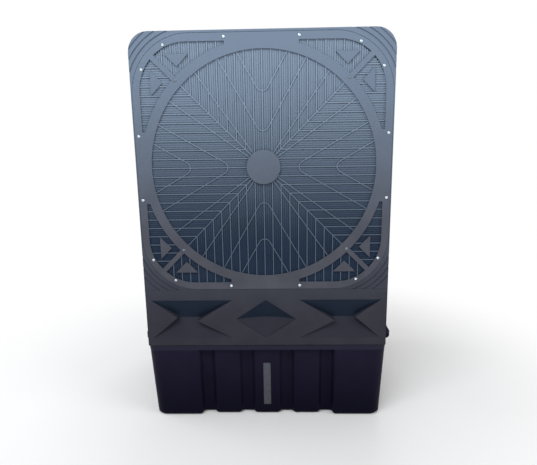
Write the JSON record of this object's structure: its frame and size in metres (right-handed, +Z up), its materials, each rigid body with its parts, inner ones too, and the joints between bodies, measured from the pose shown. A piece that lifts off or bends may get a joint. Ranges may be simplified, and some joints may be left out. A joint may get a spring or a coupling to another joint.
{
  "type": "evaporative air cooler",
  "caption": "Free-standing evaporative air cooler: square ribbed fan front with a ring, faceted lower panel, ribbed water tank, louvred pad panels, pump, float valve and carry handles.",
  "frame": {"origin": "on the floor under the middle of the object's box", "axes": "+Z up, the grille faces -Y, +X to the viewer's right"},
  "size_m": [0.69, 0.5784, 0.991],
  "materials": {
    "cabinet_plastic": "moulded charcoal plastic, fine grain",
    "grille_plastic": "moulded charcoal plastic, satin",
    "panel_plastic": "moulded charcoal plastic, fine grain",
    "tank_plastic": "moulded black plastic, satin",
    "window_clear": "clear grey plastic",
    "screw_steel": "zinc plated",
    "bolt_steel": "zinc plated",
    "shroud_plastic": "moulded dark plastic",
    "beam_steel": "black paint",
    "motor_paint": "grey enamel",
    "bearing_bronze": "sintered bronze",
    "shaft_steel": "ground steel",
    "fan_plastic": "moulded grey plastic",
    "pad_fibre": "corrugated cellulose pad",
    "pump_plastic": "moulded dark blue plastic",
    "hose_rubber": "soft grey hose",
    "trough_plastic": "moulded light grey plastic",
    "valve_brass": "cast and turned brass",
    "float_plastic": "blow moulded orange plastic",
    "plate_plastic": "moulded plate",
    "knob_plastic": "moulded black plastic",
    "switch_plastic": "moulded switch body",
    "gland_rubber": "black rubber"
  },
  "bodies": {
    "cabinet": {"cabinet_screws": "screw_steel", "control_plate": "plate_plastic", "cord_gland": "gland_rubber", "delivery_hose": "hose_rubber", "fan_shroud": "shroud_plastic", "float_pin": "bolt_steel", "float_valve": "valve_brass", "foot_screws": "screw_steel", "front_bearing": "bearing_bronze", "front_frame": "cabinet_plastic", "front_grille": "grille_plastic", "grille_screws": "screw_steel", "handle_left": "tank_plastic", "handle_right": "tank_plastic", "handle_screws": "screw_steel", "hub_cap": "grille_plastic", "level_window": "window_clear", "lower_panel": "cabinet_plastic", "motor_beam_lower": "beam_steel", "motor_beam_upper": "beam_steel", "motor_body": "motor_paint", "motor_bolts": "bolt_steel", "motor_front_cap": "motor_paint", "motor_rear_cap": "motor_paint", "pump_body": "pump_plastic", "pump_strainer": "pump_plastic", "pump_switch": "switch_plastic", "rear_bearing": "bearing_bronze", "rear_frame": "cabinet_plastic", "ring_screws": "screw_steel", "shroud_screws": "screw_steel", "side_frame_left": "cabinet_plastic", "side_frame_right": "cabinet_plastic", "speed_switch": "switch_plastic", "top_cover": "cabinet_plastic", "water_distributor": "trough_plastic", "water_tank": "tank_plastic"},
    "fan_rotor": {"fan": "fan_plastic", "fan_nut": "bolt_steel", "motor_shaft": "shaft_steel"},
    "pump_rotor": {"pump_impeller": "pump_plastic"},
    "speed_dial": {"speed_knob": "knob_plastic"},
    "pump_dial": {"pump_knob": "knob_plastic"},
    "float": {"float_arm": "valve_brass", "float_ball": "float_plastic"},
    "drain": {"drain_plug": "gland_rubber"},
    "left_pad_panel": {"panel_left": "panel_plastic", "pad_left": "pad_fibre"},
    "right_pad_panel": {"panel_right": "panel_plastic", "pad_right": "pad_fibre"},
    "rear_pad_panel": {"panel_rear": "panel_plastic", "pad_rear": "pad_fibre"}
  },
  "joints": [
    {"name": "fan_spin", "type": "hinge", "parent": "cabinet", "child": "fan_rotor", "pos_m": [0, -0.22875, 0.674], "axis": [0, 1, 0], "continuous": true},
    {"name": "pump_spin", "type": "hinge", "parent": "cabinet", "child": "pump_rotor", "pos_m": [0.15, 0.12, 0.03], "axis": [0, 0, 1], "continuous": true},
    {"name": "speed_turn", "type": "hinge", "parent": "cabinet", "child": "speed_dial", "pos_m": [0.292, -0.25375, 0.876], "axis": [1, 0, 0], "range_deg": [0, 270]},
    {"name": "pump_turn", "type": "hinge", "parent": "cabinet", "child": "pump_dial", "pos_m": [0.292, -0.25375, 0.812], "axis": [1, 0, 0], "range_deg": [0, 90]},
    {"name": "float_swing", "type": "hinge", "parent": "cabinet", "child": "float", "pos_m": [-0.263, 0.12325, 0.242], "axis": [0, -1, 0], "range_deg": [0, 25]},
    {"name": "drain_pull", "type": "slide", "parent": "cabinet", "child": "drain", "axis": [0, 1, 0], "range_m": [0, 0.03]},
    {"name": "left_panel_draw", "type": "slide", "parent": "cabinet", "child": "left_pad_panel", "axis": [-1, 0, 0], "range_m": [0, 0.075]},
    {"name": "right_panel_draw", "type": "slide", "parent": "cabinet", "child": "right_pad_panel", "axis": [1, 0, 0], "range_m": [0, 0.075]},
    {"name": "rear_panel_draw", "type": "slide", "parent": "cabinet", "child": "rear_pad_panel", "axis": [0, 1, 0], "range_m": [0, 0.075]}
  ]
}
